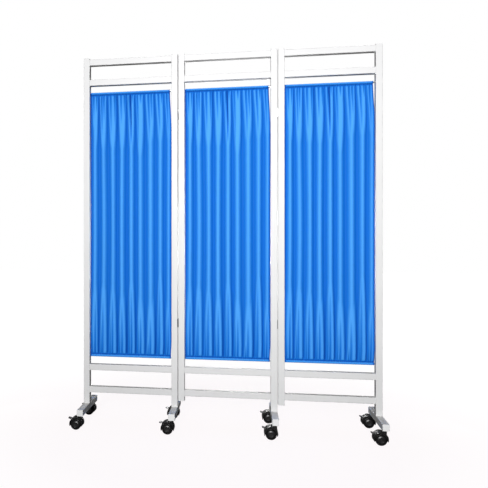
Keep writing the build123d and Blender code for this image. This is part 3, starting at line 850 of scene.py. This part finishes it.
def hubCovers(name, wheels):
    low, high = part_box(wheels)
    centre = (low + high) / 2
    bm = bmesh.new()
    for sign, face in ((-1, low.y), (1, high.y)):
        start = [
            bm.verts.new((centre.x + radius / 1000, face + sign * height / 1000, centre.z))
            for radius, height in hubCover["profile"]
        ]
        edges = [bm.edges.new(pair) for pair in zip(start[:-1], start[1:])]
        bmesh.ops.spin(
            bm, geom=start + edges, cent=centre, axis=(0, 1, 0), angle=2 * math.pi,
            steps=hubCover["segments"], use_merge=True,
        )
    bmesh.ops.remove_doubles(bm, verts=bm.verts, dist=1e-6)
    bmesh.ops.recalc_face_normals(bm, faces=bm.faces)
    mesh = meshFrom(bm, name)
    mesh.shade_smooth()
    mesh.set_sharp_from_angle(angle=math.radians(hubCover["sharp"]))
    mesh.materials.append(hard["hubGloss"])
    mesh.materials.append(hard["hoodPlastic"])
    for face in mesh.polygons:
        away = face.center - centre
        face.material_index = int(math.hypot(away.x, away.z) < hubCover["boss"])
    return addObject(name, mesh)


for number in range(1, 5):
    for end in ("front", "rear"):
        covers = hubCovers(f"leg{number}{end.title()}HubCovers", f"leg_{number}_{end}_caster_wheels")
        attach(covers, f"leg_{number}_{end}_wheels")
print("hub covers on the casters")

# weld beads round the ends of the rails and the feet of the posts, under the powder coat
weld = {
    "railHeight": 0.030, "railDepth": 0.026, "postSide": 0.030, "corner": 0.0025, "radius": 0.0013,
    "ripple": (0.24, 2.1, 0.12),  # of the bead's width: its waves, their turn in radians a step, and its unevenness
    "step": 0.0011, "sink": 0.0003,
}


def beadPath(centre, across, along, halfAcross, halfAlong):
    # points round a rounded rectangle
    corner, points = weld["corner"], []
    for turn in range(4):  # five points in each corner
        signAcross, signAlong = ((1, 1), (-1, 1), (-1, -1), (1, -1))[turn]
        for step in range(5):
            angle = math.radians(90 * turn + 22.5 * step)
            a = signAcross * (halfAcross - corner) + corner * math.cos(angle)
            b = signAlong * (halfAlong - corner) + corner * math.sin(angle)
            points.append(centre + across * a + along * b)
    points.append(points[0])
    return np.array([list(point) for point in points])


def weldBeads(name, paths):
    curve = bpy.data.curves.new(name, "CURVE")
    curve.dimensions = "3D"
    curve.bevel_depth = weld["radius"]
    curve.bevel_resolution = 1
    random = np.random.default_rng(5)
    height, turn, uneven = weld["ripple"]
    for path in paths:
        places, _ = spread(path, weld["step"])
        spline = curve.splines.new("POLY")
        spline.points.add(len(places) - 1)
        spline.use_cyclic_u = True
        waves = 1 + height * np.sin(np.arange(len(places)) * turn) + uneven * random.uniform(-1, 1, len(places))
        spline.points.foreach_set("co", np.column_stack([places, np.ones(len(places))]).ravel())
        spline.points.foreach_set("radius", waves)
    return curveMesh(name, curve, hard["powderCoat"])


def panelWelds(side, panel, legs):
    along, up, outward = Vector((0, 1, 0)), Vector((0, 0, 1)), Vector((1, 0, 0))
    half = (weld["railDepth"] / 2 - weld["sink"], weld["railHeight"] / 2 - weld["sink"])
    paths = []
    for rails in ("upper_rails", "lower_rails"):
        low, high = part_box(f"{panel}_{rails}")
        for z in (low.z + weld["railHeight"] / 2, high.z - weld["railHeight"] / 2):
            for x in (low.x + weld["sink"], high.x - weld["sink"]):
                paths.append(beadPath(Vector((x, (low.y + high.y) / 2, z)), along, up, *half))
    foot = weld["postSide"] / 2 - weld["sink"]
    for leg in legs:
        low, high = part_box(leg)
        centre = Vector(((low.x + high.x) / 2, (low.y + high.y) / 2, high.z + weld["sink"]))
        paths.append(beadPath(centre, outward, along, foot, foot))
    return weldBeads(f"{side}Welds", paths)


for side, legs in (("left", ("leg_1", "leg_2")), ("middle", ("leg_3",)), ("right", ("leg_4",))):
    welds = panelWelds(side, panels[side], legs)
    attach(welds, panels[side])
print("weld beads laid")

# flush socket screws in the hinge leaves
screws = {
    "places": ((-0.013, 0.009), (0.0, 0.016), (0.013, 0.009)),  # up from the leaf's middle, off the pin's axis
    "heights": (0.5, 1.5),  # of the leaves' middles
    "radius": 0.0029,
    "stand": 0.00018,
    "edge": 0.0001,  # broken edge of the head
    "ring": 0.0013,  # flat ring round the socket
    "socket": (0.00003, -0.00014),  # slope of its wall, and its depth
    "segments": 24,
    "knuckle": 0.0035,  # radius
    "leafSpace": 0.0004,  # between the two leaves of a closed hinge
}


def leafScrews(name, leaves, pinX, pinY):
    # screw heads on the face of each leaf that looks into the seam
    low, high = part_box(leaves)
    side = 1 if (low.x + high.x) / 2 > pinX else -1
    inward = 1 if (low.y + high.y) / 2 > pinY else -1
    face = pinX + side * screws["leafSpace"] / 2
    turn = Matrix.Rotation(math.radians(90 if side < 0 else -90), 4, "Y")
    bm = bmesh.new()
    for height in screws["heights"]:
        for up, away in screws["places"]:
            matrix = Matrix.Translation((face, pinY + inward * away, height + up)) @ turn
            made = bmesh.ops.create_circle(
                bm, cap_ends=True, segments=screws["segments"], radius=screws["radius"], matrix=matrix,
            )
            foot = list({near for vert in made["verts"] for near in vert.link_faces})
            raised = bmesh.ops.extrude_face_region(bm, geom=foot)["geom"]
            tops = [part for part in raised if isinstance(part, bmesh.types.BMVert)]
            rise = matrix.to_3x3() @ Vector((0, 0, screws["stand"] - screws["edge"] / 2))
            bmesh.ops.translate(bm, verts=tops, vec=rise)
            top = [part for part in raised if isinstance(part, bmesh.types.BMFace)]
            bm.normal_update()
            for thickness, depth in ((screws["edge"], screws["edge"] / 2), (screws["ring"], 0.0), screws["socket"]):
                rim = bmesh.ops.inset_region(bm, faces=top, thickness=thickness, depth=depth)["faces"]
            for part in rim + top:
                part.material_index = 1
    bmesh.ops.recalc_face_normals(bm, faces=bm.faces)
    mesh = meshFrom(bm, name)
    mesh.materials.append(hard["hingeSteel"])
    mesh.materials.append(hard["slotShade"])
    return addObject(name, mesh)


for seam, others in (("left", ("left", "middle")), ("right", ("middle", "right"))):
    for other in others:
        leaves = f"{seam}_seam_{other}_panel_hinge_leaves"
        mates = [f"{seam}_seam_{name}_panel_hinge_leaves" for name in others]
        boxes = [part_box(mate) for mate in mates]
        pinX = (min(box[0].x for box in boxes) + max(box[1].x for box in boxes)) / 2  # middle of the seam
        low, high = boxes[others.index(other)]
        pinY = (low.y + screws["knuckle"]) if abs(low.y) > abs(high.y) else (high.y - screws["knuckle"])
        heads = leafScrews(f"{seam}Seam{other.title()}Screws", leaves, pinX, pinY)
        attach(heads, f"{other}_panel")
print("hinge screws set")

floorLook = {
    "side": 30.0,
    "near": (1.0, 0.968, 0.976), "far": (1.08, 1.08, 1.08),
    "fade": (0.9, -0.7),  # from near to far: slope and start over the metres from the middle
    "glow": 0.95,
    "own": (0.09, 0.088, 0.089),  # what shadows show on
    "bounce": 0.07,  # what it gives back to the object
}


def makeFloor():
    bm = bmesh.new()
    bmesh.ops.create_grid(bm, x_segments=1, y_segments=1, size=floorLook["side"] / 2)
    mesh = meshFrom(bm, "studioFloor")
    floor = addObject("studioFloor", mesh)
    material = bpy.data.materials.new("studioFloor")
    material.use_nodes = True
    tree = material.node_tree
    tree.nodes.clear()
    end = addNode(tree, "ShaderNodeOutputMaterial")
    seen = addNode(tree, "ShaderNodeBsdfDiffuse")
    seen.inputs["Color"].default_value = (*floorLook["own"], 1)
    glow = addNode(tree, "ShaderNodeEmission")
    spot = addNode(tree, "ShaderNodeVectorMath", operation="LENGTH")
    link(tree, addNode(tree, "ShaderNodeTexCoord").outputs["Object"], spot.inputs[0])
    away = mathNode(tree, "MULTIPLY_ADD", spot.outputs["Value"], *floorLook["fade"], clamp=True)
    link(tree, mixColour(tree, away, floorLook["near"], floorLook["far"]), glow.inputs["Color"])
    glow.inputs["Strength"].default_value = floorLook["glow"]
    dim = addNode(tree, "ShaderNodeBsdfDiffuse")
    dim.inputs["Color"].default_value = (floorLook["bounce"],) * 3 + (1,)
    both = addNode(tree, "ShaderNodeAddShader")
    link(tree, seen.outputs[0], both.inputs[0])
    link(tree, glow.outputs[0], both.inputs[1])
    path = addNode(tree, "ShaderNodeLightPath")
    mix = addNode(tree, "ShaderNodeMixShader")
    link(tree, path.outputs["Is Camera Ray"], mix.inputs[0])
    link(tree, dim.outputs[0], mix.inputs[1])
    link(tree, both.outputs[0], mix.inputs[2])
    link(tree, mix.outputs[0], end.inputs["Surface"])
    mesh.materials.append(material)


makeFloor()

lights = {
    "keySoftbox": {
        "place": (-0.4, -9.0, 2.9), "aim": (0.18, 0.0, 1.4), "size": (2.0, 2.2), "power": 53.5, "spread": 40.0,
    },
    # a wide narrow-beamed box behind, and three near ones for the ends and the top, all kept off the front
    "rearSoftbox": {
        "place": (0.0, 3.2, 1.0), "aim": (0.0, 0.0, 1.0), "size": (2.6, 2.1), "power": 15.0, "spread": 18.0,
    },
    "leftSoftbox": {
        "place": (-1.15, 0.25, 1.0), "aim": (-0.7, 0.0, 1.0), "size": (0.3, 1.9), "power": 1.0, "spread": 180.0,
    },
    "rightSoftbox": {
        "place": (1.15, 0.25, 1.0), "aim": (0.7, 0.0, 1.0), "size": (0.3, 1.9), "power": 1.0, "spread": 180.0,
    },
    "topSoftbox": {
        "place": (0.0, 0.35, 2.4), "aim": (0.0, 0.0, 1.8), "size": (1.7, 0.3), "power": 0.9, "spread": 180.0,
    },
}
for name, look in lights.items():
    lamp = bpy.data.lights.new(name, "AREA")
    lamp.shape = "RECTANGLE"
    lamp.size, lamp.size_y = look["size"]
    lamp.energy = look["power"]
    lamp.spread = math.radians(look["spread"])
    lampObject = addObject(name, lamp)
    lampObject.location = look["place"]
    aim = Vector(look["aim"]) - lampObject.location
    lampObject.rotation_euler = aim.to_track_quat("-Z", "Y").to_euler()
    lampObject.visible_camera = False

studio = {"ambient": 0.035, "backdrop": 1.0}
world = bpy.data.worlds.new("studio")
world.use_nodes = True
bpy.context.scene.world = world
tree = world.node_tree
tree.nodes.clear()
worldEnd = addNode(tree, "ShaderNodeOutputWorld")
worldMix = addNode(tree, "ShaderNodeMixShader")
link(tree, addNode(tree, "ShaderNodeLightPath").outputs["Is Camera Ray"], worldMix.inputs[0])
for slot, strength in ((1, studio["ambient"]), (2, studio["backdrop"])):
    background = addNode(tree, "ShaderNodeBackground")
    background.inputs["Color"].default_value = (1, 1, 1, 1)
    background.inputs["Strength"].default_value = strength
    link(tree, background.outputs[0], worldMix.inputs[slot])
link(tree, worldMix.outputs[0], worldEnd.inputs["Surface"])
bpy.context.scene.view_settings.view_transform = "Standard"
bpy.context.scene.view_settings.look = "None"
print("floor and light set")

cameraLook = {
    "place": (0.0787, -2.706, 0.881), "turn": 8.87, "lens": 41.31, "sensor": 36.0, "shift": (0.1892, 0.0),
}
cameraData = bpy.data.cameras.new("photoView")
cameraData.sensor_width = cameraLook["sensor"]
cameraData.lens = cameraLook["lens"]
cameraData.shift_x, cameraData.shift_y = cameraLook["shift"]
camera = addObject("photoView", cameraData)
camera.location = cameraLook["place"]
camera.rotation_euler = (math.radians(90), 0, math.radians(cameraLook["turn"]))
bpy.context.scene.camera = camera
print("camera set")
